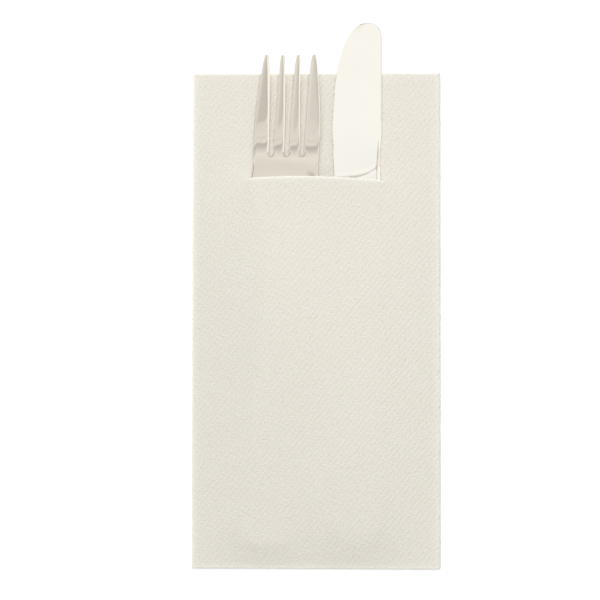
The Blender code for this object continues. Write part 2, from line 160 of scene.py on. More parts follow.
FORK_END_Z = POCKET_FLOOR + SEAT + FORK_THICK[-1][1] / 2
FORK_RISE = scaled((
    (0.0, 1.0), (0.031, 0.75), (0.061, 0.55), (0.102, 0.338), (0.143, 0.175), (0.184, 0.062),
    (0.224, 0.006), (0.255, 0.0), (0.296, 0.056), (0.337, 0.175), (0.378, 0.312), (0.418, 0.425),
    (0.459, 0.5), (0.510, 0.538), (0.561, 0.525), (0.638, 0.45), (0.740, 0.312), (0.842, 0.15),
    (0.929, 0.012),
), FORK_LENGTH, FORK_TIP_RISE) + [(FORK_LENGTH, FORK_END_Z - FORK_BASE)]
FORK_SIDES = scaled((
    (0.0, 0.90), (0.060, 0.95), (0.120, 1.0), (0.290, 1.0), (0.340, 0.80), (0.390, 0.35), (0.450, 0.0),
    (1.0, 0.0),
), FORK_LENGTH, BOWL_DEPTH)
print(f"fork: tips {FORK_BASE + FORK_TIP_RISE:.1f} mm up, tines {TINE_LENGTH:.0f} mm long")

# %% The knife's stations
KNIFE_EDGE = scaled((
    (0.0, 0.365), (0.004, 0.425), (0.012, 0.480), (0.020, 0.523), (0.036, 0.604), (0.054, 0.665),
    (0.079, 0.729), (0.111, 0.789), (0.152, 0.846), (0.185, 0.884), (0.233, 0.920), (0.294, 0.958),
    (0.356, 0.983), (0.416, 1.0), (0.476, 0.993), (0.536, 0.973), (0.606, 0.953), (0.667, 0.940),
    (0.808, 0.912), (0.939, 0.864), (1.0, 0.774),
), BLADE_LENGTH, BLADE_WIDTH) + scaled((
    (0.036, 0.739), (0.081, 0.716), (0.234, 0.795), (0.505, 0.909), (0.775, 1.0), (0.910, 0.989),
    (0.968, 0.886), (0.993, 0.727), (1.0, 0.602),
), GRIP_LENGTH, HANDLE_WIDTH, BLADE_LENGTH)
KNIFE_SPINE = scaled((
    (0.0, 0.218), (0.004, 0.160), (0.012, 0.098), (0.020, 0.058), (0.036, 0.020), (0.054, 0.003), (0.090, 0.0),
    (0.400, 0.0), (0.535, SPINE_STEP), (0.939, SPINE_STEP), (1.0, 0.048),
), BLADE_LENGTH, BLADE_WIDTH) + scaled((
    (0.036, 0.074), (0.081, 0.102), (0.234, 0.085), (0.505, 0.057), (0.775, 0.040), (0.910, 0.068),
    (0.968, 0.182), (0.993, 0.330), (1.0, 0.432),
), GRIP_LENGTH, HANDLE_WIDTH, BLADE_LENGTH)
KNIFE_THICK = scaled(((0.0, 0.65), (0.152, 0.85), (0.404, 1.0), (0.939, 1.15)), BLADE_LENGTH, SPINE_THICK)
KNIFE_THICK += scaled((
    (0.0, 0.615), (0.081, 0.846), (0.234, 0.904), (0.500, 0.965), (0.700, 0.90), (0.850, 0.74), (0.940, 0.58),
    (1.0, 0.40),
), GRIP_LENGTH, HANDLE_THICK, BLADE_LENGTH)
HANDLE_FROM, KNIFE_REST = 0.081, 0.595
HANDLE_START = BLADE_LENGTH + HANDLE_FROM * GRIP_LENGTH
REST_S = BLADE_LENGTH + KNIFE_REST * GRIP_LENGTH
SETTLE_BEFORE, SETTLE_AFTER = 25, 15


def knife_axis_z(s):
    """Height of the knife's middle: a straight line to its rest, and past that it lies on the pocket's floor."""
    line = HANDLE_THICK / 2 - TIP_DROP * (REST_S - s) / REST_S
    lying = smooth(KNIFE_THICK, s) / 2
    settled = smoothstep(REST_S - SETTLE_BEFORE, REST_S + SETTLE_AFTER, s)
    return POCKET_FLOOR + SEAT + line * (1 - settled) + lying * settled


print(f"knife: blade {BLADE_WIDTH:.1f} mm wide, tip at y {KNIFE_TIP_Y:.1f}")

# %% [markdown]
# ## Mesh helpers
#
# Both the paper and the steel are plates: a grid surface gives their middle, and a second value gives their
# thickness at each point. One helper builds the closed plate with its front, back and rim, so the edges can
# be rounded by thinning the plate towards them. A hole is a set of cells left out.

# %% Closed plates from grids
def add_object(name, data):
    obj = bpy.data.objects.new(name, data)
    bpy.context.scene.collection.objects.link(obj)
    return obj


def plate(name, middle, thick, missing=(), uv=None, marks=None):
    rows, columns = middle.shape[:2]
    along = np.gradient(middle, axis=0)
    across = np.gradient(middle, axis=1)
    normal = np.cross(across, along)
    normal /= np.maximum(np.linalg.norm(normal, axis=2, keepdims=True), 1e-12)
    front = (middle + normal * thick[..., None] / 2).reshape(-1, 3)
    back = (middle - normal * thick[..., None] / 2).reshape(-1, 3)
    cells = [(i, j) for j in range(rows - 1) for i in range(columns - 1) if (i, j) not in missing]
    faces = []
    rim = {}
    count = rows * columns
    for i, j in cells:
        a = j * columns + i
        ring = (a, a + 1, a + columns + 1, a + columns)
        faces.append(ring)
        faces.append(tuple(v + count for v in reversed(ring)))
        for p, q in zip(ring, ring[1:] + ring[:1]):
            if (q, p) in rim:
                del rim[(q, p)]
            else:
                rim[(p, q)] = True
    faces += [(q, p, p + count, q + count) for p, q in rim]
    mesh = bpy.data.meshes.new(name)
    mesh.from_pydata((np.vstack([front, back]) * MM).tolist(), [], faces)
    used = np.zeros(2 * count, bool)
    used[[v for face in faces for v in face]] = True
    if uv is not None:
        layer = mesh.uv_layers.new(name="sheet")
        flat = np.vstack([uv.reshape(-1, 2)] * 2)
        index = np.zeros(len(mesh.loops), np.int32)
        mesh.loops.foreach_get("vertex_index", index)
        layer.data.foreach_set("uv", flat[index].ravel())
    for key, values in (marks or {}).items():
        mark = mesh.attributes.new(key, "FLOAT", "POINT")
        mark.data.foreach_set("value", np.tile(values.ravel(), 2))
    mesh.update()
    obj = add_object(name, mesh)
    if not used.all():
        drop_loose(obj, used)
    mesh.shade_smooth()
    return obj


def drop_loose(obj, used):
    bm = bmesh.new()
    bm.from_mesh(obj.data)
    bm.verts.ensure_lookup_table()
    bmesh.ops.delete(bm, geom=[bm.verts[int(i)] for i in np.where(~used)[0]], context="VERTS")
    bm.to_mesh(obj.data)
    bm.free()


# %% [markdown]
# ## Where the cutlery lies
#
# The paper has to know how high the fork and the knife stand under it. This function gives their lowest and
# highest point over any place of the napkin, from the same stations that shape the steel.

# %% Under and over the cutlery
STEEL_MARGIN = 0.2


def tine_line(column):
    return [(row[0] * TINE_LENGTH, row[column] * FORK_WIDTH / 2) for row in TINE_EDGES]


def fork_half_width(s):
    return np.where(s < TINE_LENGTH, smooth(tine_line(1), s), smooth(FORK_BODY_HALF, s))


def cutlery_span(x, y):
    s = FORK_TIP_Y - y
    offset = (x - FORK_AXIS_X + math.tan(FORK_TURN) * (y - SLIT_Y)) * math.cos(FORK_TURN)
    half = fork_half_width(s)
    middle = FORK_BASE + smooth(FORK_RISE, s) + smooth(FORK_SIDES, s) * (offset / half) ** 2
    thick = smooth(FORK_THICK, s) / 2
    on_fork = (s >= 0) & (s <= FORK_LENGTH) & (np.abs(offset) <= half + STEEL_MARGIN)
    low = np.where(on_fork, middle - thick, np.inf)
    high = np.where(on_fork, middle + thick, -np.inf)
    s = KNIFE_TIP_Y - y
    left = SPINE_X - smooth(KNIFE_EDGE, s) - STEEL_MARGIN
    right = SPINE_X - smooth(KNIFE_SPINE, s) + STEEL_MARGIN
    thick = smooth(KNIFE_THICK, s) / 2
    on_knife = (s >= 0) & (s <= KNIFE_LENGTH) & (x >= left) & (x <= right)
    low = np.minimum(low, np.where(on_knife, knife_axis_z(s) - thick, np.inf))
    high = np.maximum(high, np.where(on_knife, knife_axis_z(s) + thick, -np.inf))
    return low, high


# %% [markdown]
# ## The front ply over the cutlery
#
# Soft paper over a fork takes the shape of a taut cover: it touches the steel where it must, and spans from
# there to the folds in the smoothest way. That is found by letting every point of a grid settle to the mean of
# its neighbours while the cutlery holds it up. Below the slit the steel is a floor for the paper, above the
# slit it is a ceiling, and along the cut the two sides don't pull on each other.

# %% Settle the cover
LIP_ROWS = 3
GAPE_SPREAD = 1.2
EASE_ROUNDS, LAST_ROUNDS = 10, 2


def settle(xs, ys, lip, first, last, rounds=900, pull=1.86):
    x, y = np.meshgrid(xs, ys)
    low, high = cutlery_span(x, y)
    grown_high, grown_low = high.copy(), low.copy()
    wide_high, wide_low = np.pad(high, 1, mode="edge"), np.pad(low, 1, mode="edge")
    for down in (0, 1, 2):
        for side in (0, 1, 2):
            part = (slice(down, down + high.shape[0]), slice(side, side + high.shape[1]))
            grown_high = np.maximum(grown_high, wide_high[part])
            grown_low = np.minimum(grown_low, wide_low[part])
    rows, columns = x.shape
    floor = np.where(np.arange(rows)[:, None] <= lip, grown_high + COVER + PLY / 2 - FRONT_Z, 0.0)
    floor = np.maximum(floor, 0.0)
    ceiling = np.where(np.arange(rows)[:, None] > lip, grown_low - SEAT - PLY / 2 - FRONT_Z, STRIP)
    ceiling = np.maximum(ceiling, 0.0)
    between = FORK_AXIS_X + FORK_WIDTH / 2 + BETWEEN / 2
    gape = MOUTH_GAPE * np.exp(-(((xs - between) / (GAPE_SPREAD * BETWEEN)) ** 4))
    for row in range(lip - LIP_ROWS, lip + 1):
        floor[row] = np.maximum(floor[row], gape)
    dx, dy = np.diff(xs), np.diff(ys)
    wide, tall = np.zeros(columns), np.zeros(rows)
    wide[1:-1] = (dx[:-1] + dx[1:]) / 2
    tall[1:-1] = (dy[:-1] + dy[1:]) / 2
    west, south = np.zeros((rows, columns)), np.zeros((rows, columns))
    west[:, 1:] = tall[:, None] / dx[None, :]
    south[1:, :] = wide[None, :] / dy[:, None]
    south[lip + 1, first + 1 : last] = 0.0
    east, north = np.zeros_like(west), np.zeros_like(south)
    east[:, :-1] = west[:, 1:]
    north[:-1, :] = south[1:, :]
    total = west + east + south + north
    total[total == 0] = 1.0
    inner = np.zeros((rows, columns), bool)
    inner[1:-1, 1:-1] = True
    even = (np.add.outer(np.arange(rows), np.arange(columns)) % 2) == 0

    def mean(h):
        value = west * np.roll(h, 1, 1) + east * np.roll(h, -1, 1)
        return (value + south * np.roll(h, 1, 0) + north * np.roll(h, -1, 0)) / total

    h = floor.copy()
    for _ in range(rounds):
        for colour in (even & inner, ~even & inner):
            step = h + pull * (mean(h) - h)
            h = np.where(colour, np.clip(step, floor, np.maximum(ceiling, floor)), h)
    for _ in range(EASE_ROUNDS):
        h = np.where(inner, 0.5 * h + 0.5 * mean(h), h)
    h = np.clip(h, floor, np.maximum(ceiling, floor))
    for _ in range(LAST_ROUNDS):
        h = np.where(inner, 0.5 * h + 0.5 * mean(h), h)
    return h


def spread(stops, counts):
    """Grid lines with each span between two stops cut into a number of cells."""
    lines = [stops[0]]
    for a, b, count in zip(stops, stops[1:], counts):
        lines += [a + (b - a) * (k + 1) / count for k in range(count)]
    return lines


EDGE_BAND = 1.2
FORK_END, KNIFE_END = 3 * FORK_SLACK, 3 * KNIFE_SLACK
FRONT_STOPS = [LEFT, LEFT + EDGE_BAND, SLIT_LEFT - FORK_END, SLIT_LEFT, SLIT_LEFT + FORK_END]
FRONT_STOPS += [SLIT_RIGHT - KNIFE_END, SLIT_RIGHT, SLIT_RIGHT + KNIFE_END, LEFT + QUARTER_FOLD]
FRONT_CELLS = (3, 9, 6, 8, 30, 8, 6, 9)
FRONT_X = spread(FRONT_STOPS, FRONT_CELLS)
LIP_Y = SLIT_Y - SLIT_WIDTH / 2
START_Y = FOLD_BASE + CROSS_ARC / 2
TOP_Y = FOLD_BASE + SHEET / 2 + FRONT_EXTRA
LOWER_STOPS = [START_Y, -88.0, -70.0, LIP_Y - 22.0, LIP_Y - 5.0, LIP_Y - EDGE_BAND, LIP_Y]
LOWER_Y = spread(LOWER_STOPS, (10, 10, 52, 12, 5, 3))
UPPER_Y = spread([LIP_Y + SLIT_WIDTH, LIP_Y + 1.6, LIP_Y + 9.0, TOP_Y - EDGE_BAND, TOP_Y], (3, 6, 18, 3))
FRONT_Y = LOWER_Y + UPPER_Y
LIP = len(LOWER_Y) - 1
SLIT_FIRST = sum(FRONT_CELLS[:3])
SLIT_LAST = sum(FRONT_CELLS[:6])
HEIGHTS = settle(np.array(FRONT_X), np.array(FRONT_Y), LIP, SLIT_FIRST, SLIT_LAST)
print(f"the cover stands {HEIGHTS.max():.1f} mm out, its lip {HEIGHTS[LIP].max():.1f} mm")

# %% [markdown]
# ## Folding the sheet
#
# A real sheet is folded, so this one is too. Each fold takes every point past a line, turns it round an axis
# behind the stack, and sends it back the other way. One fold across and two lengthwise give the eight plies,
# with the same rolled edges, cut edges and order as the paper one.

# %% Fold one point of the flat sheet
def roll(along, height, start, arc, axis):
    radius = height - axis
    if along <= start:
        return along, height
    if along >= start + arc:
        return 2 * start + arc - along, 2 * axis - height
    turn = math.pi * (along - start) / arc
    return start + radius * math.sin(turn), axis + radius * math.cos(turn)


def fold(u, v):
    back, height = roll(-v, 0.0, -CROSS_ARC / 2, CROSS_ARC, -CROSS_RADIUS)
    x, z = roll(u, height, HALF_FOLD, HALF_ARC, -1.5 * PITCH)
    x, z = roll(x, z, QUARTER_FOLD, QUARTER_ARC, -3.5 * PITCH)
    return LEFT + x, FOLD_BASE - back, FRONT_Z + z


def slit_y(x):
    t = np.clip((x - SLIT_LEFT) / (SLIT_RIGHT - SLIT_LEFT), 0, 1)
    return SLIT_Y + SLIT_RISE * 4 * t * (1 - t) + SLIT_TILT * (0.5 - t)


# %% [markdown]
# The sheet's grid is fine where the front ply covers the cutlery and at the folds, and coarse elsewhere. Each
# point also remembers its place on the flat sheet, so the embossed pattern runs round the folds as on real
# paper, and how near it is to a cut or to a folded edge, where the paper is lightened as a painted highlight.

# %% Make the folded sheet
ARC_STEPS = 12
PLAIN_STEPS = 14
ACROSS = [x - LEFT for x in FRONT_X] + spread([QUARTER_FOLD, QUARTER_FOLD + QUARTER_ARC], [ARC_STEPS])[1:]
ACROSS += spread([ACROSS[-1], HALF_FOLD], [PLAIN_STEPS])[1:]
ACROSS += spread([HALF_FOLD, HALF_FOLD + HALF_ARC], [ARC_STEPS])[1:]
ACROSS += spread([ACROSS[-1], SHEET - QUARTER_FOLD - QUARTER_ARC], [PLAIN_STEPS])[1:]
ACROSS += spread([ACROSS[-1], SHEET - QUARTER_FOLD], [ARC_STEPS])[1:]
ACROSS += spread([ACROSS[-1], SHEET - EDGE_BAND, SHEET], [13, 3])[1:]
BACK_EDGE = -(SHEET / 2 - FRONT_EXTRA)
CROSSWISE = spread([BACK_EDGE, BACK_EDGE + EDGE_BAND, -CROSS_ARC / 2], [3, 24])
CROSSWISE += spread([-CROSS_ARC / 2, CROSS_ARC / 2], [10])[1:]
SKIPPED = len(CROSSWISE) - 1
CROSSWISE += [y - FOLD_BASE for y in FRONT_Y[1:]]

LIP_REACH = 6.0
SIDE_WANDER, END_WANDER, WANDER_REACH, WANDER_LIMIT = 0.22, 0.3, 12.0, 40
# painted highlight: how strongly and how far the paper is lightened near cut edges and folded rims
CUT_LIGHT_REACH, RIM_PAINTED_LIGHT, RIM_LIGHT_REACH = 0.5, 0.9, 0.9


def wander(seed, place, reach):
    """A slow and a quick sideways drift of an edge, different for each ply."""
    return reach * noise.noise(Vector((seed * 7.3, place / 34.0, 0.4))) + 0.3 * reach * noise.noise(
        Vector((seed * 3.1, place / 9.0, 4.2))
    )


def make_sheet():
    middle = np.zeros((len(CROSSWISE), len(ACROSS), 3))
    uv = np.zeros((len(CROSSWISE), len(ACROSS), 2))
    edge_light = np.zeros((len(CROSSWISE), len(ACROSS)))
    for j, v in enumerate(CROSSWISE):
        for i, u in enumerate(ACROSS):
            x, y, z = fold(u, v)
            front = j - SKIPPED
            near = min(u, SHEET - u, abs(v - CROSSWISE[-1]), abs(v - BACK_EDGE))
            if front >= 0 and i < len(FRONT_X):
                z += HEIGHTS[front, i]
                bend = float(np.exp(-abs(FRONT_Y[front] - SLIT_Y) / LIP_REACH))
                if front in (LIP, LIP + 1):
                    bend = 1.0
                y += (float(slit_y(x)) - SLIT_Y) * bend
                if SLIT_FIRST <= i <= SLIT_LAST:
                    near = min(near, abs(FRONT_Y[front] - (LIP_Y if front <= LIP else LIP_Y + SLIT_WIDTH)))
            ply = round((FRONT_Z - z) / PITCH)
            if near < 0.5 * STRIP:
                fade = math.exp(-near / WANDER_REACH)
                if min(u, SHEET - u) < WANDER_LIMIT:
                    x += wander(ply + 1, y, SIDE_WANDER) * math.exp(-min(u, SHEET - u) / WANDER_REACH)
                if min(abs(v - CROSSWISE[-1]), abs(v - BACK_EDGE)) < WANDER_LIMIT:
                    y += (wander(ply + 21, x, END_WANDER) - END_WANDER / 2) * fade
            middle[j, i] = (x, y, z)
            uv[j, i] = (u / SHEET, (v + SHEET / 2) / SHEET)
            rim = max(0.0, min(STRIP / 2 - abs(x), STRIP + y))
            # painted highlight near cut edges and folded rims, kept as a point attribute for the colour
            edge_light[j, i] = max(math.exp(-near / CUT_LIGHT_REACH), RIM_PAINTED_LIGHT * math.exp(-rim / RIM_LIGHT_REACH))
    slit = {(i, LIP + SKIPPED) for i in range(SLIT_FIRST, SLIT_LAST)}
    thick = np.full(edge_light.shape, PLY)
    return plate("folded_napkin", middle, thick, slit, uv, {"painted edge light": edge_light})


napkin = make_sheet()
print(f"sheet: {len(napkin.data.polygons)} faces")

# %% [markdown]
# ## Forging the fork
#
# A fork is stamped from a flat blank, pressed into a mould and polished. So its middle surface is the blank's
# grid bent by the side view and the bowl, and its thickness falls off near every edge, slots included, the way
# polishing rounds them. Each tine is slightly crowned.

# %% The blank's lines
TINE_LINES = (-1.0, -0.975, -0.92, -0.83, -0.68, -0.4, 0.0, 0.4, 0.68, 0.83, 0.92, 0.975, 1.0)
SLOT_RADIUS = 1.34
EDGE_SOFT = 0.75
EDGE_DROP = 0.26
SLOT_END_SHARP = 2.0
SLOT_END_WIDTH = 0.07
CROWN, CROWN_FROM = 0.14, 8.0
TIP_TAPER, TIP_NARROW = 3.2, 0.40
ROUND_RUN, ROUND_EDGE = 30, 0.62


def fork_stations():
    tips = [0.0, 0.12, 0.3, 0.55, 0.9, 1.4, 2.0, 2.8]
    bend = [SLOT_RADIUS * math.sin(math.radians(a)) for a in (0, 14, 27, 39, 50, 60, 69, 77, 84)]
    tines = spread([2.8, TINE_LENGTH - SLOT_RADIUS], [40])[1:-1]
    ends = [TINE_LENGTH - SLOT_RADIUS + b for b in bend] + [TINE_LENGTH]
    body = [TINE_LENGTH + d for d in (0.12, 0.3, 0.55, 0.9, 1.4)]
    body += spread([TINE_LENGTH + 2.1, TINE_LENGTH + 40, TINE_LENGTH + 134, FORK_LENGTH - 6], [34, 42, 10])
    body += [FORK_LENGTH - d for d in (5, 4, 3.1, 2.3, 1.6, 1.0, 0.55, 0.25, 0.08, 0.0)]
    return tips + tines + ends + body


def tine_edges_at(s):
    """Offsets of the tines' four edges on one side of the axis, and each slot's middle and half width."""
    out, gap, side, centre = (float(smooth(tine_line(k), min(s, TINE_LENGTH))) for k in (1, 2, 3, 4))
    slots = [(-(gap + side) / 2, (gap - side) / 2), (0.0, centre), ((gap + side) / 2, (gap - side) / 2)]
    past = min(1.0, max(0.0, (s - TINE_LENGTH + SLOT_RADIUS) / SLOT_RADIUS))
    still_open = max(SLOT_END_WIDTH, math.sqrt(1 - past**2))
    middle = (gap + side) / 2
    gap, side = middle + (gap - middle) * still_open, middle + (side - middle) * still_open
    centre *= still_open
    if s > TINE_LENGTH:
        ratio = float(smooth(FORK_BODY_HALF, s)) / out
        out, gap, side, centre = out * ratio, gap * ratio, side * ratio, centre * ratio
    return out, gap, side, centre, slots


def depth_from_edge(s, offset, half, slots):
    """How far a point of the blank lies inside its outline and away from the slots."""
    depth = min(half - abs(offset), 2.5 * (s + 0.15), FORK_LENGTH - s + 0.02)
    past = s - (TINE_LENGTH - SLOT_RADIUS)
    for middle, reach in slots:
        if past <= 0:
            depth = min(depth, abs(offset - middle) - reach)
        else:
            round_end = math.hypot((offset - middle) / reach, past / SLOT_RADIUS) - 1
            depth = min(depth, round_end * reach * SLOT_END_SHARP)
    return max(0.0, depth)


def make_fork():
    stations = fork_stations()
    columns = 4 * len(TINE_LINES)
    middle = np.zeros((len(stations), columns, 3))
    thick = np.zeros((len(stations), columns))
    for j, s in enumerate(stations):
        out, gap, side, centre, slots = tine_edges_at(s)
        half = float(fork_half_width(s))
        tip = math.sqrt(max(0.0, 1 - (1 - min(1.0, s / TIP_TAPER)) ** 2))
        full = float(smooth(FORK_THICK, s))
        y = FORK_TIP_Y - s
        k = 0
        for a, b in ((-out, -gap), (-side, -centre), (centre, side), (gap, out)):
            for f in TINE_LINES:
                offset = (a + b) / 2 + (b - a) / 2 * f
                depth = depth_from_edge(s, offset, half, slots)
                offset = (a + b) / 2 + (b - a) / 2 * f * (TIP_NARROW + (1 - TIP_NARROW) * tip)
                drop = EDGE_DROP * (1 - min(1.0, depth / EDGE_SOFT)) ** 2
                crown = CROWN * f * f * (1 - float(smoothstep(CROWN_FROM, TINE_LENGTH + 1, s)))
                across = offset / half
                wide = float(smoothstep(TINE_LENGTH, TINE_LENGTH + ROUND_RUN, s))
                arch = math.sqrt(max(0.0, 1 - min(1.0, abs(across)) ** 2))
                soft = 1 - wide + wide * (ROUND_EDGE + (1 - ROUND_EDGE) * arch)
                x = FORK_AXIS_X + offset / math.cos(FORK_TURN) - math.tan(FORK_TURN) * (y - SLIT_Y)
                z = FORK_BASE + float(smooth(FORK_RISE, s)) + float(smooth(FORK_SIDES, s)) * across**2
                middle[j, k] = (x, y, z - crown - drop / 2)
                thick[j, k] = full * soft - drop
                k += 1
    last_slot_row = stations.index(TINE_LENGTH)
    n = len(TINE_LINES)
    missing = {(columns - 1 - n * t, j) for t in (1, 2, 3) for j in range(last_slot_row)}
    return plate("table_fork", middle[:, ::-1], thick[:, ::-1], missing)


fork = make_fork()
print(f"fork: {len(fork.data.polygons)} faces")

# %% [markdown]
# ## Grinding the knife
#
# The knife is forged in one piece and its blade is ground flat. The grinding stops in a curve short of the
# handle and along a narrow strip at the spine, where more thickness is left standing. That step and the small
# bevel of the cutting edge are what catch the light, so they are modelled.

# %% The blade and its handle
KNIFE_LINES = [0.0, 0.006, 0.014, 0.024, 0.036, 0.05, 0.07, 0.1] + spread([0.13, 0.86], [16])
KNIFE_LINES += [0.88, 0.895, 0.908, 0.92, 0.93, 0.94, 0.95, 0.96, 0.97, 0.979, 0.987, 0.994, 1.0]
GRIND_SINK, GRIND_DEPTH, GRIND_RUN, GRIND_POWER = 0.42, 0.42, 3.1, 1.75
GRIND_STOP, GRIND_SWEEP, GRIND_BEND = 64.2, 6.1, 5.0
STRIP_WIDTH = [
    (0.0, 0.7), (45.0, 0.72), (51.0, 0.78), (55.3, 1.02), (58.5, 1.24), (62.0, 1.34), (BLADE_LENGTH, 1.8),
]
STRIP_SOFT, STRIP_RUN, STRIP_RISE, STRIP_LEAN, STRIP_FROM, STRIP_FULL = 0.52, 9.0, 0.34, 0.38, 30.0, 54.0
SPINE_ROUND, SPINE_EDGE = 0.45, 0.30
BEVEL_EDGE, BEVEL_SLOPE, FACE_EDGE, FACE_SLOPE = 0.25, 4.0, 0.25, 0.9
HANDLE_EDGE, HANDLE_POWER = 0.16, 2.4
END_ROUND = 0.2
MARK_WIDTH = 0.05


def knife_stations():
    tip = [0.0, 0.06, 0.16, 0.3, 0.5, 0.8, 1.2, 1.7, 2.3, 3.0, 4.0, 5.2, 6.6, 8.2, 10.0, 12.0]
    stops = [13.0, TEETH_FROM * BLADE_LENGTH, 53.0, 70.0, HANDLE_START + 4, 198.0, 206.0, KNIFE_LENGTH - 0.9]
    end = [KNIFE_LENGTH - d for d in (0.6, 0.35, 0.15, 0.04, 0.0)]
    return tip + spread(stops, (14, 144, 34, 40, 50, 10, 10)) + end


def stock_left(s, inset):
    """Thickness left standing on the ground blade: outside the end of the grind, and more on the spine's strip."""
    width = float(smooth(STRIP_WIDTH, s))
    strip = float(smoothstep(width + STRIP_SOFT, width - STRIP_SOFT, inset))
    stop = GRIND_STOP - GRIND_SWEEP * math.exp(-inset / GRIND_BEND)
    run = GRIND_RUN + STRIP_RUN * strip
    end = min(1.0, max(0.0, (s - stop + run) / run)) ** GRIND_POWER
    lean = STRIP_LEAN * max(0.0, 1 - inset / width)
    return end * GRIND_DEPTH + strip * (STRIP_RISE - lean) * float(smoothstep(STRIP_FROM, STRIP_FULL, s))


def make_knife():
    stations = knife_stations()
    middle = np.zeros((len(stations), len(KNIFE_LINES), 3))
    thick = np.zeros((len(stations), len(KNIFE_LINES)))
    mark = np.zeros((len(stations), len(KNIFE_LINES)))
    for j, s in enumerate(stations):
        edge = float(smooth(KNIFE_EDGE, s))
        spine = float(smooth(KNIFE_SPINE, s))
        full = float(smooth(KNIFE_THICK, s))
        blend = float(smoothstep(BLADE_LENGTH + 2, HANDLE_START, s))
        width = edge - spine
        for i, f in enumerate(KNIFE_LINES):
            inset = width * (1 - f)
            from_edge = width * f
            ground = EDGE_THICK + (full - GRIND_SINK - EDGE_THICK) * min(1.0, FACE_EDGE + FACE_SLOPE * f)
            ground = min(ground, BEVEL_EDGE + from_edge * BEVEL_SLOPE)
            blade = ground + stock_left(s, inset)
            arch = math.sqrt(max(0.0, 1 - (1 - min(1.0, inset / SPINE_ROUND)) ** 2))
            blade *= SPINE_EDGE + (1 - SPINE_EDGE) * arch
            arch = math.sqrt(max(0.0, 1 - abs(2 * f - 1) ** HANDLE_POWER))
            rounded = full * (HANDLE_EDGE + (1 - HANDLE_EDGE) * arch)
            tip_round = math.sqrt(min(1.0, 0.05 + min(s, (KNIFE_LENGTH - s) / 2) / END_ROUND))
            middle[j, i] = (SPINE_X - edge + width * f, KNIFE_TIP_Y - s, knife_axis_z(s))
            thick[j, i] = (blade * (1 - blend) + rounded * blend) * tip_round
            mark[j, i] = 1.0 - min(1.0, f / MARK_WIDTH) if s < BLADE_LENGTH else 0.0
    return plate("table_knife", middle[:, ::-1], thick[:, ::-1], marks={"cutting edge": mark[:, ::-1]})


knife = make_knife()
print(f"knife: {len(knife.data.polygons)} faces")

# %% [markdown]
# ## Helpers for node trees
#
# The trees below are built in the script. This small helper adds a node, sets its values and links its inputs
# in one call, which keeps each tree readable as a list of steps.

# %% Add and link nodes
def add(tree, kind, links=(), **values):
    node = tree.nodes.new(kind)
    for key, value in values.items():
        setattr(node, key, value)
    for socket, source in dict(links).items():
        target = node.inputs[socket]
        if hasattr(source, "is_output"):
            tree.links.new(source, target)
        else:
            target.default_value = source
    return node


def calc(tree, operation, *values):
    """Add a Math node and give back its result."""
    return add(tree, "ShaderNodeMath", dict(enumerate(values)), operation=operation).outputs[0]


def mix(tree, mask, first, second, **values):
    """Blend two levels, or two colours with data_type RGBA, by a mask."""
    links = {"Factor": mask, "A": first, "B": second}
    return add(tree, "ShaderNodeMix", links, **values).outputs["Result"]


def new_material(name):
    mat = bpy.data.materials.new(name)
    mat.use_nodes = True
    return mat, mat.node_tree, mat.node_tree.nodes["Principled BSDF"]


def group_tree(kind, name, inputs, outputs):
    tree = bpy.data.node_groups.new(name, kind)
    for label, socket, default in inputs:
        item = tree.interface.new_socket(name=label, in_out="INPUT", socket_type=socket)
        if default is not None:
            item.default_value = default
    for label, socket in outputs:
        tree.interface.new_socket(name=label, in_out="OUTPUT", socket_type=socket)
    return tree, tree.nodes.new("NodeGroupInput"), tree.nodes.new("NodeGroupOutput")


def dress(tree, given, out, offset):
    """End a Geometry Nodes tree: move the points, make the result real and give it its material."""
    moved = add(tree, "GeometryNodeSetPosition", {"Geometry": given.outputs["Geometry"], "Offset": offset})
    real = add(tree, "GeometryNodeRealizeInstances", {0: moved.outputs[0]})
    dressed = add(tree, "GeometryNodeSetMaterial", {"Geometry": real.outputs[0], "Material": given.outputs["Material"]})
    tree.links.new(dressed.outputs[0], out.inputs[0])


SHARP_FROM = 50


def run_nodes(obj, tree, values):
    """Run a Geometry Nodes tree on an object and keep its result as a plain mesh."""
    modifier = obj.modifiers.new(tree.name, "NODES")
    modifier.node_group = tree
    for item in tree.interface.items_tree:
        if item.item_type == "SOCKET" and item.in_out == "INPUT" and item.name in values:
            modifier[item.identifier] = values[item.name]
    depsgraph = bpy.context.evaluated_depsgraph_get()
    result = bpy.data.meshes.new_from_object(obj.evaluated_get(depsgraph))
    obj.modifiers.remove(modifier)
    old = obj.data
    obj.data = result
    bpy.data.meshes.remove(old)
    result.shade_smooth()
    result.set_sharp_from_angle(angle=math.radians(SHARP_FROM))
    print(f"{tree.name}: {obj.name} now has {len(result.polygons)} faces")


# %% [markdown]
# ## Finishes
#
# The paper is soft and matt, pressed between rollers with a fine twill, so its finish is a colour, a height
# pattern for bump, and grooves darkened with painted shade. The pattern is a group, because both the colour
# and the bump read it. Its ribs are 1.85 mm apart, and three weaker waves and the fibres break them into short dashes.

# %% The embossed twill as a shader group
# each wave: its pitch in millimetres, the direction that it runs in, its share of the height, its start
TWILL_WAVES = (
    (1.85, -39.0, 0.43, 0.0), (2.31, 61.0, 0.115, 0.8), (1.08, 26.0, 0.125, 2.1), (1.15, 61.0, 0.08, 4.0),
)
FIBRE_HEIGHT, SLIP = 1.9, 1.3


def wave(tree, vector, pitch, direction, start, wobble):
    angle = -math.radians(direction)
    turned = add(tree, "ShaderNodeVectorRotate", {"Vector": vector, "Angle": angle}, rotation_type="Z_AXIS")
    part = add(tree, "ShaderNodeSeparateXYZ", {0: turned.outputs[0]})
    phase = calc(tree, "MULTIPLY_ADD", part.outputs[0], 2 * math.pi / (pitch * MM), start)
    return calc(tree, "SINE", calc(tree, "ADD", phase, wobble))


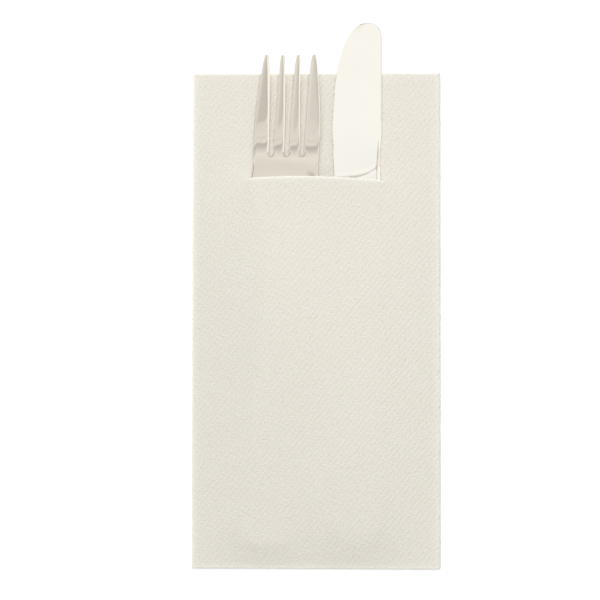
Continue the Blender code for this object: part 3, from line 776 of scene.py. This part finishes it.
def make_twill():
    tree, given, out = group_tree("ShaderNodeTree", "Embossed twill", [
        ("Vector", "NodeSocketVector", None),
    ], [("Height", "NodeSocketFloat"), ("Groove shade", "NodeSocketFloat"), ("Mottle", "NodeSocketFloat")])
    vector = given.outputs["Vector"]
    drift = add(tree, "ShaderNodeTexNoise", {"Vector": vector, "Scale": 260.0, "Detail": 2.0})
    slip = add(tree, "ShaderNodeMapRange", {0: drift.outputs[0], 3: -SLIP, 4: SLIP})
    fibre = add(tree, "ShaderNodeTexNoise", {"Vector": vector, "Scale": 1500.0, "Detail": 4.0, "Roughness": 0.6})
    heights = {0: fibre.outputs[0], 1: 0.25, 2: 0.75, 3: -FIBRE_HEIGHT, 4: FIBRE_HEIGHT}
    height = add(tree, "ShaderNodeMapRange", heights).outputs[0]
    for pitch, direction, share, start in TWILL_WAVES:
        part = wave(tree, vector, pitch, direction, start, slip.outputs[0])
        height = calc(tree, "MULTIPLY_ADD", part, share, height)
    tree.links.new(height, out.inputs["Height"])
    # painted shade: the grooves' share, which darkens the paper in the twill's hollows
    groove_shade = add(tree, "ShaderNodeMapRange", {0: height, 1: -1.0, 2: 1.0, 3: 1.0, 4: 0.0})
    tree.links.new(groove_shade.outputs[0], out.inputs["Groove shade"])
    cloud = add(tree, "ShaderNodeTexNoise", {"Vector": vector, "Scale": 55.0, "Detail": 3.0})
    tree.links.new(cloud.outputs[0], out.inputs["Mottle"])
    return tree


TWILL = make_twill()

# %% [markdown]
# Steel is a mirror with a history: fine scratches along the polishing direction, and a thin haze of handling.
# One group gives both as values, and each piece sets its own two colours and its plain roughness.

# %% Polished steel as a shader group
HAZE, SCRATCH = 0.03, 0.015


def make_polish():
    tree, given, out = group_tree("ShaderNodeTree", "Polished steel", [
        ("Vector", "NodeSocketVector", None),
        ("Roughness", "NodeSocketFloat", 0.12),
    ], [("Roughness", "NodeSocketFloat"), ("Height", "NodeSocketFloat"), ("Tint", "NodeSocketFloat")])
    vector = given.outputs["Vector"]
    drawn = add(tree, "ShaderNodeMapping", {"Vector": vector, "Scale": (1.0, 0.06, 1.0)})
    scratch = add(tree, "ShaderNodeTexNoise", {"Vector": drawn.outputs[0], "Scale": 5200.0, "Detail": 3.0})
    haze = add(tree, "ShaderNodeTexNoise", {"Vector": vector, "Scale": 120.0, "Detail": 4.0})
    spread_haze = add(tree, "ShaderNodeMapRange", {0: haze.outputs[0], 1: 0.3, 2: 0.75, 3: 0.0, 4: HAZE})
    rough = calc(tree, "ADD", given.outputs["Roughness"], spread_haze.outputs[0])
    fine = add(tree, "ShaderNodeMapRange", {0: scratch.outputs[0], 1: 0.3, 2: 0.7, 3: -SCRATCH, 4: SCRATCH})
    tree.links.new(calc(tree, "ADD", rough, fine.outputs[0]), out.inputs["Roughness"])
    tree.links.new(scratch.outputs[0], out.inputs["Height"])
    tint = add(tree, "ShaderNodeMapRange", {0: haze.outputs[0], 1: 0.3, 2: 0.7, 3: 0.0, 4: 1.0})
    tree.links.new(tint.outputs[0], out.inputs["Tint"])
    return tree


POLISH = make_polish()


# %% The paper's material
# the second colour is painted shade for the twill's hollows
PAPER_LIGHT, PAPER_GROOVE_SHADE = (0.785, 0.755, 0.680, 1), (0.715, 0.685, 0.610, 1)
# the edge colour is a painted highlight for cut edges and folded rims
PAPER_CLOUD, PAPER_EDGE_LIGHT = (0.985, 0.982, 0.975, 1), (0.90, 0.875, 0.80, 1)


def make_paper():
    mat, tree, shader = new_material("Embossed airlaid paper")
    place = add(tree, "ShaderNodeUVMap", uv_map="sheet")
    real = add(tree, "ShaderNodeVectorMath", {0: place.outputs[0], 1: (SHEET * MM,) * 3}, operation="MULTIPLY")
    twill = add(tree, "ShaderNodeGroup", node_tree=TWILL)
    tree.links.new(real.outputs[0], twill.inputs["Vector"])
    # painted shade: the twill's hollows take the darker colour
    base = mix(tree, twill.outputs["Groove shade"], PAPER_LIGHT, PAPER_GROOVE_SHADE, data_type="RGBA")
    cloud = mix(tree, twill.outputs["Mottle"], base, PAPER_CLOUD, data_type="RGBA", blend_type="MULTIPLY")
    # painted highlight: near cut edges and folded rims the paper takes the lighter edge colour
    edge_light = add(tree, "ShaderNodeAttribute", attribute_name="painted edge light")
    light = mix(tree, edge_light.outputs["Fac"], cloud, PAPER_EDGE_LIGHT, data_type="RGBA")
    tree.links.new(light, shader.inputs["Base Color"])
    bump = add(tree, "ShaderNodeBump", {"Strength": 0.55, "Distance": 0.00016, "Height": twill.outputs["Height"]})
    tree.links.new(bump.outputs[0], shader.inputs["Normal"])
    shader.inputs["Roughness"].default_value = 0.94
    shader.inputs["Specular IOR Level"].default_value = 0.15
    shader.inputs["Sheen Weight"].default_value = 0.12
    shader.inputs["Sheen Roughness"].default_value = 0.6
    return mat


PAPER = make_paper()


# %% The steels
def make_steel(name, clean, warm, roughness):
    mat, tree, shader = new_material(name)
    place = add(tree, "ShaderNodeTexCoord")
    polish = add(tree, "ShaderNodeGroup", node_tree=POLISH)
    polish.inputs["Roughness"].default_value = roughness
    tree.links.new(place.outputs["Object"], polish.inputs["Vector"])
    color = mix(tree, polish.outputs["Tint"], (*clean, 1), (*warm, 1), data_type="RGBA")
    tree.links.new(color, shader.inputs["Base Color"])
    tree.links.new(polish.outputs["Roughness"], shader.inputs["Roughness"])
    bump = add(tree, "ShaderNodeBump", {"Strength": 0.04, "Distance": 0.00002, "Height": polish.outputs["Height"]})
    tree.links.new(bump.outputs[0], shader.inputs["Normal"])
    shader.inputs["Metallic"].default_value = 1.0
    return mat


FORK_STEEL = make_steel("Fork steel", (0.770, 0.714, 0.628), (0.755, 0.698, 0.608), 0.035)
KNIFE_STEEL = make_steel("Knife steel", (0.955, 0.928, 0.860), (0.947, 0.918, 0.846), 0.05)

# %% [markdown]
# ## Geometry Nodes for the paper's ease and the knife's teeth
#
# Stacked paper never lies dead flat. A small tree lifts each point by a slow noise that fades out towards the
# table, so all plies move together and never cross. The teeth repeat along the cutting edge, so a second tree
# pulls the edge in and out by a rule with a pitch, a depth, a start and a count.

# %% Ease in the paper
def make_ease():
    tree, given, out = group_tree("GeometryNodeTree", "Paper ease", [
        ("Geometry", "NodeSocketGeometry", None),
        ("Height", "NodeSocketFloat", 0.0002),
        ("Scale", "NodeSocketFloat", 22.0),
        ("Stack height", "NodeSocketFloat", 0.004),
        ("Material", "NodeSocketMaterial", None),
    ], [("Geometry", "NodeSocketGeometry")])
    place = add(tree, "GeometryNodeInputPosition")
    part = add(tree, "ShaderNodeSeparateXYZ", {0: place.outputs[0]})
    flat = add(tree, "ShaderNodeCombineXYZ", {0: part.outputs[0], 1: part.outputs[1]})
    cloud = add(tree, "ShaderNodeTexNoise", {"Vector": flat.outputs[0], "Scale": given.outputs["Scale"], "Detail": 1.5})
    centred = calc(tree, "SUBTRACT", cloud.outputs[0], 0.5)
    fade = add(tree, "ShaderNodeMath", {0: part.outputs[2], 1: given.outputs["Stack height"]}, operation="DIVIDE")
    fade.use_clamp = True
    lift = calc(tree, "MULTIPLY", calc(tree, "MULTIPLY", centred, given.outputs["Height"]), fade.outputs[0])
    offset = add(tree, "ShaderNodeCombineXYZ", {2: lift})
    dress(tree, given, out, offset.outputs[0])
    return tree


run_nodes(napkin, make_ease(), {"Height": 0.0007, "Scale": 24.0, "Stack height": 0.004, "Material": PAPER})


# %% Teeth along the cutting edge
def make_teeth():
    tree, given, out = group_tree("GeometryNodeTree", "Knife teeth", [
        ("Geometry", "NodeSocketGeometry", None),
        ("Start", "NodeSocketFloat", 0.09),
        ("Pitch", "NodeSocketFloat", 0.00136),
        ("Depth", "NodeSocketFloat", 0.0003),
        ("Count", "NodeSocketInt", 17),
        ("Material", "NodeSocketMaterial", None),
    ], [("Geometry", "NodeSocketGeometry")])
    place = add(tree, "GeometryNodeInputPosition")
    part = add(tree, "ShaderNodeSeparateXYZ", {0: place.outputs[0]})
    down = calc(tree, "SUBTRACT", given.outputs["Start"], part.outputs[1])
    teeth = calc(tree, "DIVIDE", down, given.outputs["Pitch"])
    saw = calc(tree, "PINGPONG", teeth, 0.5)
    begun = calc(tree, "GREATER_THAN", teeth, 0.0)
    going = calc(tree, "LESS_THAN", teeth, given.outputs["Count"])
    edge = add(tree, "GeometryNodeInputNamedAttribute", {"Name": "cutting edge"}, data_type="FLOAT")
    amount = calc(tree, "MULTIPLY", saw, given.outputs["Depth"])
    for mask in (begun, going, edge.outputs[0], 2.0):
        amount = calc(tree, "MULTIPLY", amount, mask)
    offset = add(tree, "ShaderNodeCombineXYZ", {0: amount})
    dress(tree, given, out, offset.outputs[0])
    return tree


run_nodes(knife, make_teeth(), {
    "Start": (KNIFE_TIP_Y - TEETH_FROM * BLADE_LENGTH) * MM,
    "Pitch": TOOTH_PITCH * MM,
    "Depth": TOOTH_DEPTH * MM,
    "Count": TEETH,
    "Material": KNIFE_STEEL,
})
fork.data.materials.append(FORK_STEEL)
fork.data.set_sharp_from_angle(angle=math.radians(SHARP_FROM))

# %% [markdown]
# ## Joining the pieces to the model
#
# Each finer piece rides on the model's one body and stands for its own solid.

# %% Ride and replace
PIECES = ((napkin, "napkin", "napkin_paper"), (fork, "fork", "fork_steel"), (knife, "knife", "knife_steel"))
for piece, node, slot in PIECES:
    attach(piece, "root")
    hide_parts(node)

# %% [markdown]
# ## The table and the light
#
# The photograph is taken from above, with the napkin on pure white. A large white floor does that. A lamp next
# to the camera lights the paper from the viewer's side, which keeps the shadows beside the cutlery thin, and a
# second one from the open end gives it a slight fall of light. A pale dome fills the rest.

# %% The floor
FLOOR_REACH, FLOOR_DROP, FLOOR_WHITE, FLOOR_GLOW = 3.0, 0.0002, 0.80, 0.30


def make_floor():
    mesh = bpy.data.meshes.new("floor")
    corners = [(x * FLOOR_REACH, y * FLOOR_REACH, -FLOOR_DROP) for x, y in ((-1, -1), (1, -1), (1, 1), (-1, 1))]
    mesh.from_pydata(corners, [], [(0, 1, 2, 3)])
    floor = add_object("floor", mesh)
    mat, tree, shader = new_material("White floor")
    shader.inputs["Roughness"].default_value = 1.0
    shader.inputs["Specular IOR Level"].default_value = 0.0
    shader.inputs["Base Color"].default_value = (FLOOR_WHITE, FLOOR_WHITE, FLOOR_WHITE, 1)
    path = add(tree, "ShaderNodeLightPath")
    shader.inputs["Emission Color"].default_value = (1, 1, 1, 1)
    strength = calc(tree, "MULTIPLY", path.outputs["Is Camera Ray"], FLOOR_GLOW)
    tree.links.new(strength, shader.inputs["Emission Strength"])
    mesh.materials.append(mat)


make_floor()

# %% [markdown]
# Polished steel shows its surroundings, so what makes the fork look like a fork is the room above it. The dome
# carries what a studio has: pale panels with gaps between them, a brighter wall on the right, a duller side
# and the dark shape of the stand. Each is given by its tilt from straight above, along and across the
# napkin. The paper only feels the dome's mean light.

# %% The studio that the steel reflects
PANELS = (
    # tilt towards the closed end of the pouch in degrees, and the brightness there
    (-90, 0.97), (-38, 0.96), (-34, 0.94), (-16, 0.955), (-11.4, 1.005), (-9, 0.988), (-7.4, 1.0), (-5.5, 0.975),
    (-4.4, 0.955), (-3.0, 0.93), (-1.5, 0.95),
    (-1.0, 1.05), (-0.2, 1.05), (0.7, 0.96), (1.7, 0.86), (2.7, 0.71), (3.65, 0.57), (3.8, 0.99), (4.9, 1.01),
    (5.05, 0.74), (5.55, 0.74), (5.7, 0.99), (6.4, 0.985), (7.2, 0.935), (9.0, 0.92), (90, 0.85),
)
PANEL_SKEW = 0.095
GAP_START, GAP_SOFT, GAP_SKEW, GAP_TURN, GAP_RETURN, GAP_LEVEL, GAP_SLOPE = 9.15, 0.15, 0.18, -8.0, 0.42, 0.79, -0.004
WALL_LEVEL, SIDE_LEVEL, STAND_LEVEL = 1.25, 0.84, 0.56
# soft borders in degrees, each from nothing to full. Behind is bounded along the napkin only, the stand's
# sides and the far left across it only, and the others across it first and then along it
SIDE_ZONE = ((1.5, 9.0), (-5.5, -6.5))
WALL_ZONE, WALL_SKEW = ((28.0, 34.0), (6.0, 9.0)), 0.35
FAR_LEFT = (-42.0, -46.0)
BEHIND_ZONE = ((-12.2, -16.5), (-36.0, -33.0))
BESIDE_ZONE = ((-15.0, -20.0), (-4.6, -5.2), (-27.0, -26.0))
STAND_SIDES = ((14.0, 12.0), (-42.0, -40.0))


def step(tree, value, low, high):
    return add(tree, "ShaderNodeMapRange", {0: value, 1: low, 2: high}, interpolation_type="SMOOTHSTEP").outputs[0]


def times(tree, first, second):
    return calc(tree, "MULTIPLY", first, second)


def make_studio():
    tree, given, out = group_tree("ShaderNodeTree", "Studio panels", [
        ("Direction", "NodeSocketVector", None),
    ], [("Level", "NodeSocketFloat"), ("Stand", "NodeSocketFloat")])
    part = add(tree, "ShaderNodeSeparateXYZ", {0: given.outputs["Direction"]})
    along = times(tree, calc(tree, "ARCTAN2", part.outputs[1], part.outputs[2]), -180 / math.pi)
    across = times(tree, calc(tree, "ARCTAN2", part.outputs[0], part.outputs[2]), 180 / math.pi)
    leaning = calc(tree, "MULTIPLY_ADD", across, -PANEL_SKEW, along)
    share = add(tree, "ShaderNodeMapRange", {0: leaning, 1: -90.0, 2: 90.0})
    ramp = add(tree, "ShaderNodeValToRGB", {0: share.outputs[0]})
    stops = ramp.color_ramp.elements
    stops.remove(stops[-1])
    for k, (tilt, level) in enumerate(PANELS):
        stop = stops[0] if k == 0 else stops.new((tilt + 90) / 180)
        stop.position = (tilt + 90) / 180
        stop.color = (level, level, level, 1)
    level = ramp.outputs[0]
    skew = calc(tree, "MULTIPLY_ADD", across, -GAP_SKEW, along)
    left = calc(tree, "MAXIMUM", calc(tree, "SUBTRACT", GAP_TURN, across), 0.0)
    skew = calc(tree, "MULTIPLY_ADD", left, -GAP_RETURN, skew)
    gap = calc(tree, "MULTIPLY_ADD", across, GAP_SLOPE, GAP_LEVEL)
    level = mix(tree, step(tree, skew, GAP_START - GAP_SOFT, GAP_START + GAP_SOFT), level, gap)
    side = times(tree, step(tree, across, *SIDE_ZONE[0]), step(tree, along, *SIDE_ZONE[1]))
    level = mix(tree, side, level, SIDE_LEVEL)
    sloping = calc(tree, "MULTIPLY_ADD", across, WALL_SKEW, along)
    wall = times(tree, step(tree, across, *WALL_ZONE[0]), step(tree, sloping, *WALL_ZONE[1]))
    level = mix(tree, wall, level, WALL_LEVEL)
    level = mix(tree, step(tree, across, *FAR_LEFT), level, 1.0)
    behind = times(tree, step(tree, along, *BEHIND_ZONE[0]), step(tree, along, *BEHIND_ZONE[1]))
    beside = times(tree, step(tree, along, *BESIDE_ZONE[1]), step(tree, across, *BESIDE_ZONE[0]))
    beside = times(tree, beside, step(tree, along, *BESIDE_ZONE[2]))
    stand = calc(tree, "MAXIMUM", behind, beside)
    sides = times(tree, step(tree, across, *STAND_SIDES[0]), step(tree, across, *STAND_SIDES[1]))
    stand = times(tree, stand, sides)
    level = mix(tree, stand, level, STAND_LEVEL)
    tree.links.new(level, out.inputs["Level"])
    tree.links.new(stand, out.inputs["Stand"])
    return tree


DOME_LEVEL = 0.39
STAND_TINT = (1.05, 0.985, 0.92, 1)


def make_world():
    world = bpy.data.worlds.new("Studio dome")
    bpy.context.scene.world = world
    world.use_nodes = True
    tree = world.node_tree
    tree.nodes.clear()
    place = add(tree, "ShaderNodeTexCoord")
    studio = add(tree, "ShaderNodeGroup", node_tree=make_studio())
    tree.links.new(place.outputs["Generated"], studio.inputs["Direction"])
    path = add(tree, "ShaderNodeLightPath")
    dome = mix(tree, path.outputs["Is Glossy Ray"], DOME_LEVEL, studio.outputs["Level"])
    shown = mix(tree, path.outputs["Is Camera Ray"], dome, 1.0)
    lit = add(tree, "ShaderNodeBackground", {"Strength": shown})
    warm = times(tree, path.outputs["Is Glossy Ray"], studio.outputs["Stand"])
    tint = mix(tree, warm, (1, 1, 1, 1), STAND_TINT, data_type="RGBA")
    tree.links.new(tint, lit.inputs["Color"])
    end = add(tree, "ShaderNodeOutputWorld")
    tree.links.new(lit.outputs[0], end.inputs[0])


make_world()


# %% The lamps
def make_lamp(name, place, target, size, power):
    data = bpy.data.lights.new(name, "AREA")
    data.shape = "DISK"
    data.size = size
    data.energy = power
    lamp = add_object(name, data)
    lamp.location = place
    lamp.rotation_euler = (Vector(target) - Vector(place)).to_track_quat("-Z", "Y").to_euler()
    lamp.visible_glossy = False


make_lamp("lamp by the camera", (0.09, 0.08, 1.3), (0.0, 0.0, 0.0), 0.4, 9.95)
make_lamp("lamp at the open end", (-0.05, 0.9, 0.9), (0.0, 0.05, 0.0), 0.5, 4.85)

# %% [markdown]
# ## The camera
#
# The camera hangs about a metre above the napkin and looks almost straight down. Its place and turn were
# found from the four corners of the folded sheet, so nothing needs a shift.

# %% Camera and view
LENS, SENSOR = 147.97, 36.0
CAMERA_PLACE, CAMERA_TURN = (0.04, -0.0333, 1.0), (2.396, 2.667, 0.101)

data = bpy.data.cameras.new("camera")
data.sensor_width = SENSOR
data.lens = LENS
camera = add_object("camera", data)
camera.location = CAMERA_PLACE
camera.rotation_euler = [math.radians(turn) for turn in CAMERA_TURN]
bpy.context.scene.camera = camera
bpy.context.scene.view_settings.view_transform = "Standard"
